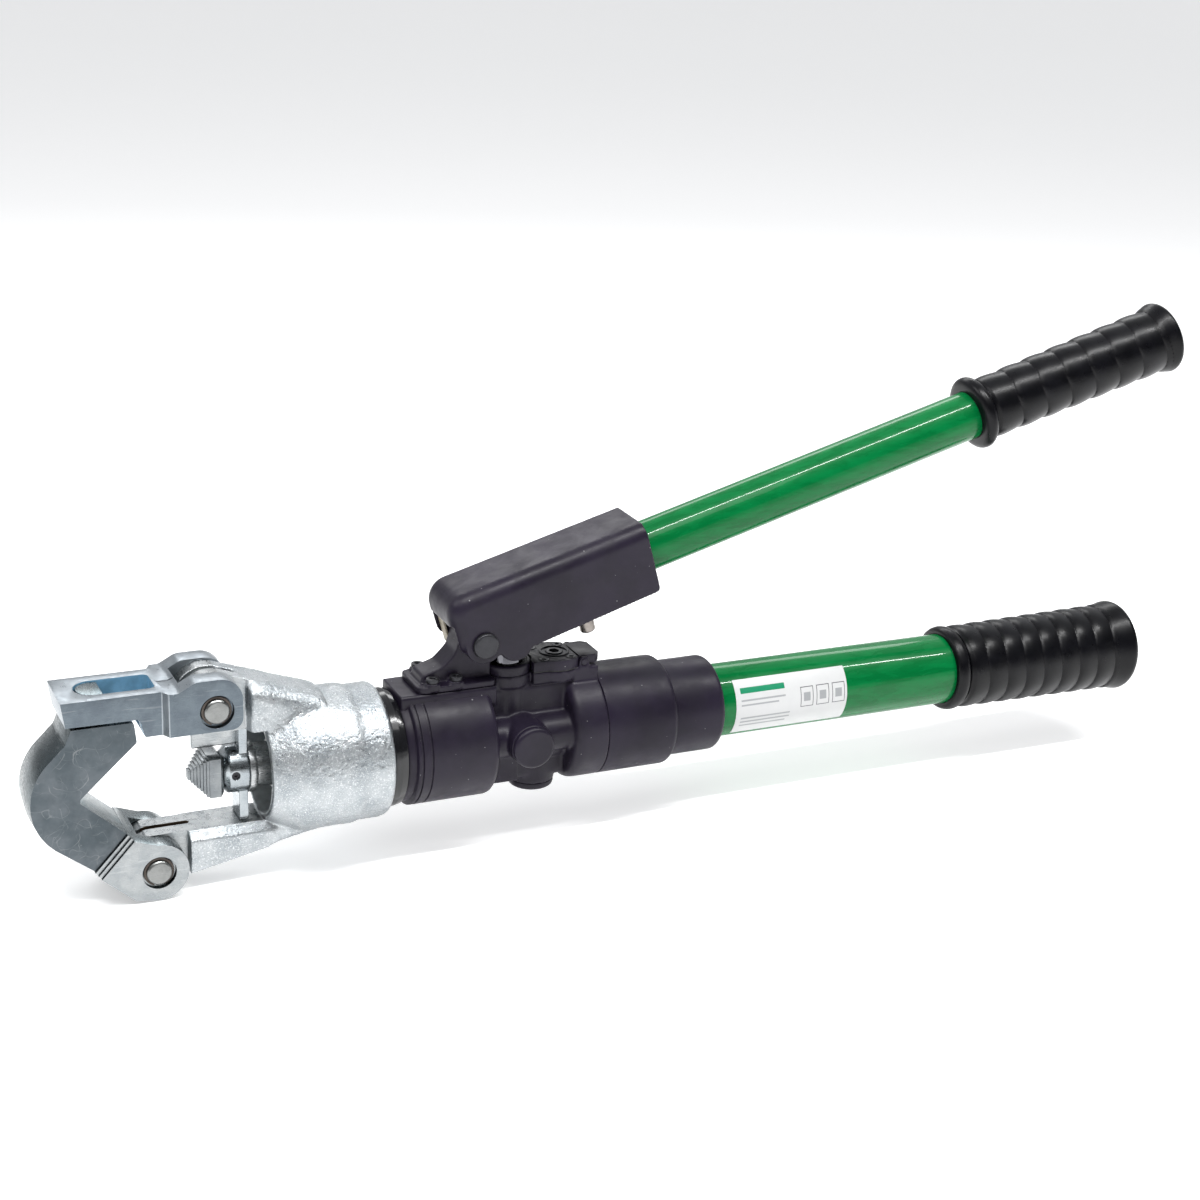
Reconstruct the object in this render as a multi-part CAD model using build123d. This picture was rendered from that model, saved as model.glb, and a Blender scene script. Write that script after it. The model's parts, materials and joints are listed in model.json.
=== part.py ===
"""Manual hydraulic indent crimping tool with a flip-open latch head. All sizes in millimetres.

Frame: the origin is the middle of the nest floor in the hook jaw, on the ram axis.
+X runs along the ram axis towards the handles, +Z to the pump-handle side, +Y sideways.
"""
import os
from math import cos, radians, sin

from build123d import *

os.makedirs("parts", exist_ok=True)

# ---------------------------------------------------------------- driving dimensions
# clearances
RUN = 0.05              # radial running clearance of pins and bores
FACE_GAP = 0.3          # side clearance between parts that turn past each other

# head
JAW_HALF = 14.0         # half thickness of the hook jaw's plate
BACK_R = 30.0           # radius of the hook jaw's round back
DRAFT = 3.0             # degrees
EAR_HALF = 19.5         # half width over the fork ears
LATCH_HALF = 15.0       # half width of the latch bar
LUG_HALF = 9.2          # half thickness of the yoke's two lugs
SLOT_HALF = LUG_HALF + FACE_GAP
UPPER_PIN = (62.1, 37.7)    # x, z of the latch pin
LOWER_PIN = (33.6, -38.8)   # x, z of the jaw pin
PIN_R = 6.0
PIN_END = 20.3          # half length of both head pins
COUNTERBORE_R = 8.0
COUNTERBORE_DEPTH = 2.8
LATCH_TOP = 49.0
LATCH_UNDER = 36.9
EAR_UNDER = 28.0
UPPER_LUG_R = 15.0
LOWER_LUG_R = 14.3
ARM_TOP = -24.5         # machined top face of the lower arm
ARM_UNDER = 23.0        # machined underside of the upper arm
YOKE_FRONT = 86.0
YOKE_REAR = 144.5
YOKE_R = 34.2
CYL_R = 23.5            # ram cylinder bore
GUIDE_SLOT_HALF = 1.6
WEB_X = (54.2, 79.0)    # guide web under the upper lug
WEB_UNDER = 13.0
GUIDE_WEB_HALF = 1.5
LOCK_SCREW_Z = -32.6

# ram
INDENT_TIP = 52.0
INDENT_HALF = 9.7
INDENT_STEPS = 7
COLLAR_R = 11.5
COLLAR_X = (69.0, 79.5)
NUT_X = (79.6, 83.2)
RAM_R = 12.5
PISTON_X = (127.5, 139.5)

# pump body
NOSE_R = CYL_R - RUN
FRONT_R = 29.8
FRONT_X = (152.0, 198.4)
RING_R = 28.1
RING_X = (239.5, 257.1)
SLEEVE_END = 295.9
SOCKET_R = 24.6
SOCKET_END = 324.5
FLANGE_TOP = 33.0       # top face of the casting's pump flange
COVER_TOP = 38.5
COVER_END = 246.2
PLUG_X = 237.5
PLUG_R = 7.6
LEVER_PIVOT = (249.2, 35.7)     # x, z of the release lever's pivot
POPPET_X = 252.0
BARREL_X = 211.5
COLLAR_BAY_R = 12.9
PLUNGER_R = 9.0
VALVE_Y = -14.0         # axis of the lengthwise valve gallery
VALVE_Z = 2.0
SIDE_PORT_X = 215.0
BOTTOM_PORT_X = 227.0

# handles
TUBE_R = 19.0
TUBE_WALL = 3.0
GRIP_X = (468.0, 586.6)
PIVOT = (193.0, 54.0)   # x, z of the pump-handle pivot
HANDLE_TILT = 16.19     # degrees that the pump handle stands open at rest
HANDLE_OFFSET = 7.85    # handle axis above the pivot, square to the handle
HOUSING_HALF = 19.0
HOUSING_INNER = 15.2
WEB_HALF = 7.4          # half thickness of the pivot bracket's web
DRIVE_PIN = (211.5, 50.0)
DRIVE_PIN_R = 3.5
PUMP_TUBE_R = 12.8
PUMP_GRIP_U = (291.4, 418.9)
STRIKER_U = 58.5        # striker, measured along the pump handle from its pivot
STRIKER_TOP = -5.2

# fasteners, as x, y places
BRACKET_BOLTS = [(x, side * 10.6) for x in (169.5, 181.5) for side in (-1, 1)]
COVER_SCREWS = [(228.5, -8.6), (228.5, 8.6), (243.0, -8.9), (243.0, 8.9)]


# ---------------------------------------------------------------- helpers
def rod_x(r, x0, x1, y=0.0, z=0.0):
    """Cylinder along X."""
    return Pos((x0 + x1) / 2, y, z) * Rot(0, 90, 0) * Cylinder(r, x1 - x0)


def rod_y(r, y0, y1, x, z):
    """Cylinder along Y."""
    return Pos(x, (y0 + y1) / 2, z) * Rot(90, 0, 0) * Cylinder(r, y1 - y0)


def rod_z(r, z0, z1, x=0.0, y=0.0):
    """Cylinder along Z."""
    return Pos(x, y, (z0 + z1) / 2) * Cylinder(r, z1 - z0)


def block(x0, x1, y0, y1, z0, z1):
    """Box between two corners."""
    return Pos((x0 + x1) / 2, (y0 + y1) / 2, (z0 + z1) / 2) * Box(x1 - x0, y1 - y0, z1 - z0)


def outline(*corners):
    """Closed flat outline. Each corner is (a, b), or (a, b, r) where it is rounded."""
    flat = Polygon(*[(c[0], c[1]) for c in corners], align=None)
    for corner in corners:
        if len(corner) == 3:
            spot = Vector(corner[0], corner[1], 0)
            flat = fillet(flat.vertices().sort_by_distance(spot)[0], corner[2])
    return flat


def disc(x, z, r):
    """Flat circle for an outline in the X-Z plane."""
    return Pos(x, z) * Circle(r)


def slab(flat, y0, y1):
    """An X-Z outline made solid from y0 to y1."""
    return Pos(0, y1, 0) * extrude(Plane.XZ * flat, amount=y1 - y0, dir=(0, -1, 0))


def plate(flat, z0, z1):
    """An X-Y outline made solid from z0 to z1."""
    return Pos(0, 0, z0) * extrude(flat, amount=z1 - z0, dir=(0, 0, 1))


def slab_outside(flat, side):
    """All that lies outside the outline on one side of mid thickness, cut back by the draft."""
    around = Plane.XZ * Rectangle(400, 400)
    drafted = extrude(Plane.XZ * flat, amount=JAW_HALF + 1, dir=(0, side, 0), taper=DRAFT)
    return extrude(around, amount=JAW_HALF + 1, dir=(0, side, 0)) - drafted


def turned(*corners):
    """Solid of revolution about X from (x, radius) corners, some of them rounded."""
    return revolve(Plane.XZ * outline(*corners), Axis.X, 360)


def ring_x(r_in, r_out, x0, x1):
    """Plain ring about the ram axis."""
    return rod_x(r_out, x0, x1) - rod_x(r_in, x0 - 1, x1 + 1)


def o_ring(r_mid, r_wire, x):
    """Round-section ring about the ram axis."""
    return Pos(x, 0, 0) * Rot(0, 90, 0) * Torus(r_mid, r_wire)


def spring(r_mid, r_wire, length, turns):
    """Open coil spring standing on the X-Y plane, about Z."""
    path = Helix(pitch=length / turns, height=length, radius=r_mid)
    start = Plane(origin=path @ 0, z_dir=path % 0)
    return sweep(start * Circle(r_wire), path=path)


def on_handle(shape):
    """Put a shape made about the pump-handle pivot, with the handle along +X, in its place."""
    return Pos(PIVOT[0], 0, PIVOT[1]) * Rot(0, -HANDLE_TILT, 0) * shape


def both_sides(make):
    """The same solid on the near and the far side."""
    return [make(-1), make(1)]


def save(node, *solids):
    """Write one node. Several solids make a group of separate pieces."""
    shape = solids[0] if len(solids) == 1 else Compound([s.solid() for s in solids])
    export_step(shape, f"parts/{node}.step")


# ---------------------------------------------------------------- head: yoke
def head_yoke():
    """Forged cylinder body with an upper and a lower arm that end in lugs."""
    body = turned(
        (YOKE_FRONT, CYL_R), (YOKE_FRONT, 26.0, 2), (101, 33.6, 8), (127, YOKE_R, 6),
        (131, 32.8, 3), (YOKE_REAR, 32.8, 2.5), (YOKE_REAR, CYL_R),
    )
    ux, uz = UPPER_PIN
    lx, lz = LOWER_PIN
    ear_clear_x = 78.6
    upper_line = outline((ux, ARM_UNDER), (ux, uz + 14.9), (66.5, 52.0), (116, 35.4), (116, ARM_UNDER))
    upper_lug = slab(disc(ux, uz, UPPER_LUG_R) + upper_line, -LUG_HALF, LUG_HALF)
    upper_root = slab(upper_line, -16, 16)
    shoulders = [e for e in upper_root.edges() if abs(e.center().Y) > 15.9 and e.center().X > 80
                 and e.center().Z > 38]
    upper_root = fillet(shoulders, 9) & block(ear_clear_x, 120, -16, 16, 0, 60)
    upper_root = fillet(upper_root.edges().filter_by(Axis.Z).group_by(Axis.X)[0], 3)
    guide_web = block(*WEB_X, -GUIDE_WEB_HALF, GUIDE_WEB_HALF, WEB_UNDER, ARM_UNDER + 5)

    ear_clear_low = 49.8
    lower_line = outline((lx, ARM_TOP), (118, ARM_TOP), (118, -31), (108, -33), (42, -46.7), (lx, -46))
    lower_lug = slab(disc(lx, lz, LOWER_LUG_R) + lower_line, -LUG_HALF, LUG_HALF)
    side_bevel = outline((-14, -60), (14, -60), (14, -28.5), (9.5, ARM_TOP), (-9.5, ARM_TOP), (-14, -28.5))
    lower_root = slab(lower_line, -14, 14) & extrude(Plane.YZ * side_bevel, amount=118, dir=(1, 0, 0))
    lower_root = lower_root & block(ear_clear_low, 120, -14, 14, -60, 0)

    pad = block(130.5, YOKE_REAR, -8, 8, -36.4, -28)
    pad = fillet(pad.edges().filter_by(Axis.X).group_by(Axis.Z)[0], 4)
    yoke = body + upper_lug + upper_root + lower_lug + lower_root + pad
    yoke -= rod_x(CYL_R, YOKE_FRONT - 20, YOKE_REAR + 1)
    yoke += guide_web

    # wire groove of the swivel joint, lock screw hole, pin bores
    yoke -= rod_x(24.7, 141.2, 142.8)
    yoke -= rod_x(2.4, 135, 150, 0, LOCK_SCREW_Z)
    yoke -= rod_y(PIN_R + RUN, -20, 20, ux, uz)
    yoke -= rod_y(PIN_R + RUN, -20, 20, lx, lz)

    # guide slot in the lower arm, running round the nose of its lug, and round the upper lug
    slot = block(lx, 50.8, -GUIDE_SLOT_HALF, GUIDE_SLOT_HALF, ARM_TOP - 5, ARM_TOP + 1)
    slot += rod_z(GUIDE_SLOT_HALF, ARM_TOP - 5, ARM_TOP + 1, 50.8)
    nose = rod_y(LOWER_LUG_R + 1, -GUIDE_SLOT_HALF, GUIDE_SLOT_HALF, lx, lz)
    nose -= rod_y(LOWER_LUG_R - 5, -5, 5, lx, lz)
    yoke -= slot + (nose & block(0, lx, -5, 5, -46, -20))
    crown = rod_y(UPPER_LUG_R + 3, -GUIDE_SLOT_HALF, GUIDE_SLOT_HALF, ux, uz)
    crown -= rod_y(UPPER_LUG_R - 3, -5, 5, ux, uz)
    yoke -= crown & block(40, 75, -5, 5, 38, 60)
    return yoke


# ---------------------------------------------------------------- head: latch and jaw
def pin_seat(pin):
    """Press bore through both ears with a counterbore in each outer face."""
    x, z = pin
    seat = rod_y(PIN_R, -30, 30, x, z)
    for side in (-1, 1):
        inner, outer = sorted((side * (EAR_HALF - COUNTERBORE_DEPTH), side * 30))
        seat += rod_y(COUNTERBORE_R, inner, outer, x, z)
    return seat


def latch_arm():
    """Latch bar with a window at the front and a fork with thick ears at the pin."""
    bar = slab(
        outline(
            (-7.2, LATCH_TOP), (-5.4, LATCH_UNDER + 0.2), (27.8, LATCH_UNDER, 2), (30, EAR_UNDER, 1),
            (60, EAR_UNDER), (60, LATCH_TOP),
        ),
        -LATCH_HALF, LATCH_HALF,
    )
    ears = slab(
        outline(
            (36, EAR_UNDER), (74.2, EAR_UNDER, 5.5), (74.2, 53.4, 11), (52.5, 53.4, 8),
            (44.5, LATCH_TOP, 5), (36, LATCH_TOP),
        ),
        -EAR_HALF, EAR_HALF,
    )
    swell = plate(
        outline(
            (36, -LATCH_HALF), (38.0, -LATCH_HALF, 1.2), (40.2, -EAR_HALF, 1.2), (90, -EAR_HALF),
            (90, EAR_HALF), (40.2, EAR_HALF, 1.2), (38.0, LATCH_HALF, 1.2), (36, LATCH_HALF),
        ),
        0, 80,
    )
    latch = bar + (ears & swell)
    latch -= block(46.7, 90, -SLOT_HALF, SLOT_HALF, 0, 80)
    latch -= pin_seat(UPPER_PIN)

    # window: round front end, undercut so that the jaw's tongue swings out under it
    window_half = 8.7
    front_x = 1.4 + window_half
    window = plate(
        outline((front_x, -window_half), (36.8, -window_half, 3), (36.8, window_half, 3),
                (front_x, window_half)),
        30, 60,
    )
    window += rod_z(window_half, 30, 60, front_x)
    undercut = slab(outline((1.4, 46.8), (front_x, 46.8), (front_x, 30), (-3.6, 30), (-3.0, 37.5)),
                    -window_half, window_half)
    latch -= window + undercut
    latch -= block(38.9, 47, -2.2, -1.4, LATCH_TOP - 3, LATCH_TOP + 1)
    return latch


def hook_jaw():
    """C-shaped jaw: V nest, fork round the lower lug, tongue that the latch window holds."""
    lx, lz = LOWER_PIN
    plate_line = outline(
        (-3.4, 35.4, 1), (25.3, 35.4, 1.5), (26.4, 25.5, 1.5), (0, 1.0, 0.8), (0, -1.0, 0.8),
        (25.6, -23.8), (34, -32), (22.5, -51.4), (7.0, -38.0, 8), (-38.2, -3.0, BACK_R),
        (-6.2, 29.0, 6),
    )
    jaw = slab(plate_line, -JAW_HALF, JAW_HALF)

    # the forged back is drafted both ways from a parting line at mid thickness
    back_line = outline(
        (-3.4, 80), (80, 80), (80, -80), (22.5, -80), (22.5, -51.4), (7.0, -38.0, 8),
        (-38.2, -3.0, BACK_R), (-6.2, 29.0, 6), (-3.4, 36),
    )
    for side in (-1, 1):
        jaw -= slab_outside(back_line, side)

    # three small steps widen the plate to the ears
    ear_line = outline((22.6, -21.0), (lx, -25), (lx, lz - 14), (22.5, -51.4), (7.2, -38.0))
    ears = ear_line + disc(lx, lz, 14.0)
    jaw += slab(ears, -EAR_HALF, EAR_HALF)
    for back, half in ((1.1, EAR_HALF - 1.7), (2.2, EAR_HALF - 3.4)):
        step_line = outline((22.6 - back, -21.0 + back * 0.9), (lx, -30), (22.5, -51.4),
                            (7.2 - back, -38.0 + back))
        jaw += slab(step_line, -half, half)

    jaw -= rod_y(LOWER_LUG_R + 0.6, -SLOT_HALF, SLOT_HALF, lx, lz)
    jaw -= block(25.6, 60, -SLOT_HALF, SLOT_HALF, -70, -15)
    jaw -= pin_seat(LOWER_PIN)

    tongue_r = 8.0
    tongue = rod_z(tongue_r, 30, LATCH_TOP - 0.4, 2.6 + tongue_r)
    jaw += tongue & block(0, 13.2, -9, 9, 30, 60)
    return jaw


def head_pin(pin):
    """Straight pin with chamfered ends and a groove for a retaining ring at each end."""
    x, z = pin
    body = rod_y(PIN_R, -PIN_END, PIN_END, x, z)
    body = chamfer(body.edges().group_by(Axis.Y)[0], 0.9)
    body = chamfer(body.edges().group_by(Axis.Y)[-1], 0.9)
    for side in (-1, 1):
        mid = side * 17.7
        groove = rod_y(PIN_R + 1, mid - 0.7, mid + 0.7, x, z) - rod_y(5.2, mid - 1, mid + 1, x, z)
        body -= groove
    return body


def retaining_ring(pin, side):
    """Open ring with its gap downwards, in the counterbore."""
    x, z = pin
    mid = side * 17.7
    ring = rod_y(7.1, mid - 0.6, mid + 0.6, x, z) - rod_y(5.2, mid - 1, mid + 1, x, z)
    return ring - block(x - 2.4, x + 2.4, mid - 2, mid + 2, z - 9, z)


# ---------------------------------------------------------------- head: ram
def indentor():
    """Square die with a stepped pyramid nose and a round spigot."""
    nose_end = 60.5
    step = (nose_end - INDENT_TIP) / INDENT_STEPS
    tip_half = 2.2
    die = block(nose_end, 67.5, -INDENT_HALF, INDENT_HALF, -INDENT_HALF, INDENT_HALF)
    die = chamfer(die.edges().group_by(Axis.X)[-1], 1.6)
    for i in range(INDENT_STEPS):
        half = tip_half + (INDENT_HALF - 0.6 - tip_half) * i / (INDENT_STEPS - 1)
        x0 = INDENT_TIP + step * i
        die += block(x0, nose_end + 1, -half, half, -half, half)
    spigot = rod_x(8.0, 67, 74.2)
    return die + spigot


def guide_collar():
    """Hub that holds the die on the ram, with the bar that slides between the two arms.

    The top of the bar is forked and straddles the yoke's guide web.
    """
    x0, x1 = COLLAR_X
    hub = turned((x0 - 1.4, 0), (x0 - 1.4, 8.6), (x0 + 1.2, COLLAR_R, 1), (x1, COLLAR_R, 0.6), (x1, 0))
    bar = block(75.2, x1, -6.7, 6.7, ARM_TOP + FACE_GAP, ARM_UNDER - FACE_GAP)
    collar = hub + bar
    collar -= rod_x(8.0, x0 - 3, x1 + 1)
    collar -= rod_y(1.9, -20, 0, 72.6, 0.6)
    fork_half = GUIDE_WEB_HALF + FACE_GAP
    return collar - block(x0, x1 + 1, -fork_half, fork_half, WEB_UNDER - 1, 30)


def collar_screw():
    """Set screw with a hexagon socket, in the collar's radial hole."""
    screw = rod_y(1.9, -10.6, -8.1, 72.6, 0.6)
    socket = Pos(72.6, -9.6, 0.6) * Rot(90, 0, 0) * extrude(RegularPolygon(1.0, 6), amount=1.2)
    return screw - socket


def lock_nut():
    """Thin nut with twelve flats."""
    x0, x1 = NUT_X
    flats = Pos(x0, 0, 0) * Rot(0, 90, 0) * extrude(RegularPolygon(12.4, 12), amount=x1 - x0)
    return flats - rod_x(8.0, x0 - 1, x1 + 1)


def ram():
    """Hollow ram with its piston head at the rear."""
    x0, x1 = PISTON_X
    body = turned(
        (74.3, 0), (74.3, 8.0), (NUT_X[1], 8.0), (NUT_X[1], 10.5, 0.6), (92, 10.5, 0.6), (92, RAM_R, 1),
        (122, RAM_R, 2), (x0, 20.5, 2), (x0, NOSE_R, 0.6), (x1, NOSE_R, 0.6), (x1, 0),
    )
    body -= rod_x(8.5, 100, x1 + 1)
    body -= ring_x(20.6, 30, 130.6, 133.8)
    body -= ring_x(21.6, 30, 135.4, 137.8)
    return body


# ---------------------------------------------------------------- pump body casting
def cover_outline():
    """Outline of the top cover, with the bay for the barrel collar cut out of it."""
    flat = disc(PLUG_X, 0, 13.6) + outline(
        (222, -11.5), (243, -11.5), (COVER_END, -9.6), (COVER_END, 9.6), (243, 11.5), (222, 11.5),
    )
    flat -= Pos(COVER_END + 10, 0) * Rectangle(20, 60)
    return flat - disc(BARREL_X, 0, COLLAR_BAY_R)


def pump_housing():
    """Body casting: nose for the head joint, front cylinder, pump block, rear ring."""
    x0, x1 = FRONT_X
    r0, r1 = RING_X
    nose = turned((140, 0), (140, NOSE_R, 0.8), (x0, NOSE_R), (x0, 0))
    nose -= ring_x(22.9, 30, 141.2, 142.8)
    front = turned(
        (x0, 0), (x0, 27.6, 1), (156.4, 27.6), (156.4, FRONT_R, 1), (x1, FRONT_R, 3), (x1, 0),
    )
    for groove_x in (158.6, 163.4):
        front -= ring_x(FRONT_R - 0.8, 40, groove_x - 0.5, groove_x + 0.5)
    rear = turned((r0, 0), (r0, RING_R, 4.5), (r1, RING_R, 0.4), (r1, 25.0), (266, 25.0, 1), (266, 0))
    web = block(x1 - 4, r0 + 4, -11, 11, -24, 28)
    web = fillet(web.edges().filter_by(Axis.X), 4)
    core = rod_x(17, x1 - 2, r0 + 2)
    gallery = rod_x(9.6, x1 - 2, r0 + 2, VALVE_Y, VALVE_Z) + rod_x(8.5, x1 - 2, r0 + 2, -VALVE_Y, VALVE_Z)
    side_boss = rod_y(10.9, -29.4, 0, SIDE_PORT_X, VALVE_Z + 0.5)
    bottom_boss = rod_z(11.8, -27, 0, BOTTOM_PORT_X)
    low_block = block(201, 214, -14.5, -4, -22, -10)
    barrel_boss = rod_z(12.0, 11, FLANGE_TOP, BARREL_X) & block(190, 240, -12.5, 12.5, 0, 60)
    flange = plate(cover_outline() + disc(BARREL_X, 0, COLLAR_BAY_R), 27, FLANGE_TOP)
    end_block = block(244, 257, -11.8, 11.8, 20, FLANGE_TOP)
    lug_x, lug_z = LEVER_PIVOT
    for y0, y1 in ((-11.8, -9.7), (9.7, 11.8)):
        end_block += rod_y(2.8, y0, y1, lug_x, lug_z) + block(lug_x - 2.8, lug_x + 2.8, y0, y1, 30, lug_z)
    pad = block(x0 + 0.6, 202, -14, 14, 20, 30.2)
    pad = fillet(pad.edges().filter_by(Axis.X).group_by(Axis.Z)[-1], 2)
    body = nose + front + rear + web + core + gallery + side_boss + bottom_boss
    body += low_block + barrel_boss + flange + end_block + pad

    # spring chamber, pump bore, valve ports, oil ways, poppet hole
    body -= rod_x(8.5, 139, 176)
    body -= rod_x(2.0, 175, 205)
    body -= rod_z(10.6, -8.5, 60, BARREL_X)
    body -= rod_y(6.5, -40, -13.5, SIDE_PORT_X, VALVE_Z + 0.5)
    body -= rod_z(7.0, -40, -15, BOTTOM_PORT_X)
    body -= rod_x(2.0, 224, 267, VALVE_Y, VALVE_Z)
    body -= rod_z(2.1, 16, 40, POPPET_X)
    body -= rod_y(1.6 + RUN, -12, 12, lug_x, lug_z)
    body -= rod_y(1.6, -12, 12, 171.5, 0)
    for hole_x, hole_y in BRACKET_BOLTS:
        body -= rod_z(1.9, 20, 40, hole_x, hole_y)
    for hole_x, hole_y in COVER_SCREWS:
        body -= rod_z(1.3, 26, 40, hole_x, hole_y)
    return body


def top_cover():
    """Cast cover over the pump valves."""
    cover = plate(cover_outline(), FLANGE_TOP + 0.5, COVER_TOP)
    cover -= rod_z(PLUG_R + RUN, FLANGE_TOP, 60, PLUG_X)
    for x, y in COVER_SCREWS:
        cover -= rod_z(1.6, 20, 60, x, y) + rod_z(2.7, COVER_TOP - 1.6, 60, x, y)
    return cover


def cover_gasket():
    """Flat gasket under the cover."""
    sheet = plate(cover_outline(), FLANGE_TOP, FLANGE_TOP + 0.5)
    sheet -= rod_z(PLUG_R + RUN, 0, 60, PLUG_X)
    for x, y in COVER_SCREWS:
        sheet -= rod_z(1.6, 0, 60, x, y)
    return sheet


def filler_plug():
    """Round plug with a hexagon socket and a plain raised rim."""
    plug = rod_z(PLUG_R, FLANGE_TOP, COVER_TOP + 0.6, PLUG_X)
    plug = chamfer(plug.edges().group_by(Axis.Z)[-1], 0.5)
    plug -= rod_z(6.4, COVER_TOP - 0.2, 60, PLUG_X) - rod_z(4.4, 0, 60, PLUG_X)
    socket = Pos(PLUG_X, 0, COVER_TOP - 2.4) * extrude(RegularPolygon(2.7, 6), amount=8)
    return plug - socket


def cap_screw(r_head, r_shank, x, y, z_seat, head, length):
    """Socket cap screw pointing down, its head standing on z_seat."""
    screw = rod_z(r_head, z_seat, z_seat + head, x, y) + rod_z(r_shank, z_seat - length, z_seat, x, y)
    socket = Pos(x, y, z_seat + head * 0.45) * extrude(RegularPolygon(r_head * 0.5, 6), amount=head)
    return screw - socket


def pivot_bracket():
    """Cast bracket on the front cylinder that carries the pump-handle pivot."""
    px, pz = PIVOT
    seat = 30.2
    web_line = outline(
        (164, seat), (201.2, seat), (201.2, 41, 2), (200.5, 50), (px, pz), (184.7, 55),
        (182.4, 47, 8), (176, 40.5, 8), (165.5, 37.0, 2.5),
    )
    web = slab(web_line, -WEB_HALF, WEB_HALF) + rod_y(8.5, -WEB_HALF, WEB_HALF, px, pz)
    barrel = rod_y(8.5, -HOUSING_INNER + FACE_GAP, HOUSING_INNER - FACE_GAP, px, pz)
    foot_flat = outline((161.5, -13.6, 4), (201.2, -13.6, 2), (201.2, 13.6, 2), (161.5, 13.6, 4))
    foot = plate(foot_flat, seat, seat + 3.2)
    bracket = web + barrel + foot
    bracket -= rod_y(5.0 + RUN, -20, 20, px, pz)
    bracket -= rod_z(13.0, 20, 60, BARREL_X)
    for x, y in BRACKET_BOLTS:
        bracket += rod_z(3.9, seat + 1, seat + 4.6, x, y)
    for x, y in BRACKET_BOLTS:
        bracket -= rod_z(2.0, 20, seat + 4.7, x, y)
    return bracket


def pump_barrel():
    """Steel liner that the plunger runs in."""
    liner = rod_z(10.6, -8.5, FLANGE_TOP, BARREL_X)
    return liner - rod_z(PLUNGER_R + RUN, -8.5 + 1.5, 60, BARREL_X)


def barrel_collar():
    """Gland nut on the barrel, with a recess for the wiper."""
    gland = rod_z(12.5, FLANGE_TOP, COVER_TOP - 0.2, BARREL_X)
    gland = chamfer(gland.edges().group_by(Axis.Z)[-1], 0.8)
    gland -= rod_z(PLUNGER_R + RUN, 20, 60, BARREL_X)
    return gland - rod_z(10.6, FLANGE_TOP + 1.2, 60, BARREL_X)


def plunger_wiper():
    """Rubber wiper in the gland nut."""
    ring = rod_z(10.6, FLANGE_TOP + 1.2, COVER_TOP - 0.4, BARREL_X)
    return ring - rod_z(PLUNGER_R + RUN, 20, 60, BARREL_X)


def pump_plunger():
    """Plunger with a flat-sided head, slotted for the drive pin."""
    dx, dz = DRIVE_PIN
    shaft = rod_z(PLUNGER_R, -4, 46, BARREL_X)
    shaft = chamfer(shaft.edges().group_by(Axis.Z)[0], 1)
    head = rod_z(PLUNGER_R, 46, 57, BARREL_X) & block(200, 225, -7.5, 7.5, 40, 60)
    head = chamfer(head.edges().group_by(Axis.Z)[-1], 1)
    slot_half = 2.4
    tall = DRIVE_PIN_R + 0.25
    slot = block(dx - slot_half, dx + slot_half, -12, 12, dz - tall, dz + tall)
    slot += rod_y(tall, -12, 12, dx - slot_half, dz) + rod_y(tall, -12, 12, dx + slot_half, dz)
    return shaft + head - slot


def side_valve_cap():
    """Domed plug on the side port."""
    z = VALVE_Z + 0.5
    cap = rod_y(10.6, -32.8, -29.4, SIDE_PORT_X, z)
    cap = fillet(cap.edges().group_by(Axis.Y)[0], 2.2)
    return cap + rod_y(6.5, -30, -22, SIDE_PORT_X, z)


def bottom_valve_cap():
    """Domed plug on the bottom port."""
    cap = rod_z(11.4, -30.8, -27, BOTTOM_PORT_X)
    cap = fillet(cap.edges().group_by(Axis.Z)[0], 2.2)
    return cap + rod_z(7.0, -27.5, -22, BOTTOM_PORT_X)


def check_valve_balls():
    """Delivery ball in the side port and suction ball in the bottom port."""
    delivery = Pos(SIDE_PORT_X, -16.9, VALVE_Z + 0.5) * Sphere(3.4)
    suction = Pos(BOTTOM_PORT_X, 0, -18.4) * Sphere(3.4)
    return [delivery, suction]


def release_lever():
    """Rocking pad that the handle's striker presses to let the pressure off."""
    pad = block(247.2, 258.5, -9.4, 9.4, FLANGE_TOP + 1.1, COVER_TOP)
    pad = chamfer(pad.edges().filter_by(Axis.Z).group_by(Axis.X)[-1], 2.5)
    return pad + rod_y(1.6, -11.6, 11.6, *LEVER_PIVOT)


# ---------------------------------------------------------------- reservoir and lower handle
def reservoir_cover():
    """Large sleeve over the oil bladder."""
    return turned(
        (RING_X[1], 25.05), (RING_X[1], RING_R, 0.5), (SLEEVE_END, RING_R, 3),
        (SLEEVE_END, 22.0), (SLEEVE_END - 3, 22.0), (SLEEVE_END - 3, 25.05),
    )


def handle_socket():
    """Small sleeve that clamps the lower tube to the reservoir."""
    return turned(
        (SLEEVE_END, TUBE_R), (SLEEVE_END, SOCKET_R, 0.5), (SOCKET_END, SOCKET_R, 3), (SOCKET_END, TUBE_R),
    )


def oil_bladder():
    """Closed rubber bladder holding the oil."""
    return turned((268, 0), (268, 21.5, 4), (291.5, 21.5, 6), (291.5, 0))


def bladder_clamp():
    """Ring that holds the bladder's mouth on the casting."""
    return ring_x(12, 24.0, 266, 268)


def fixed_tube():
    """Lower handle tube."""
    return rod_x(TUBE_R, SLEEVE_END, 578) - rod_x(TUBE_R - TUBE_WALL, SLEEVE_END - 1, 579)


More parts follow.
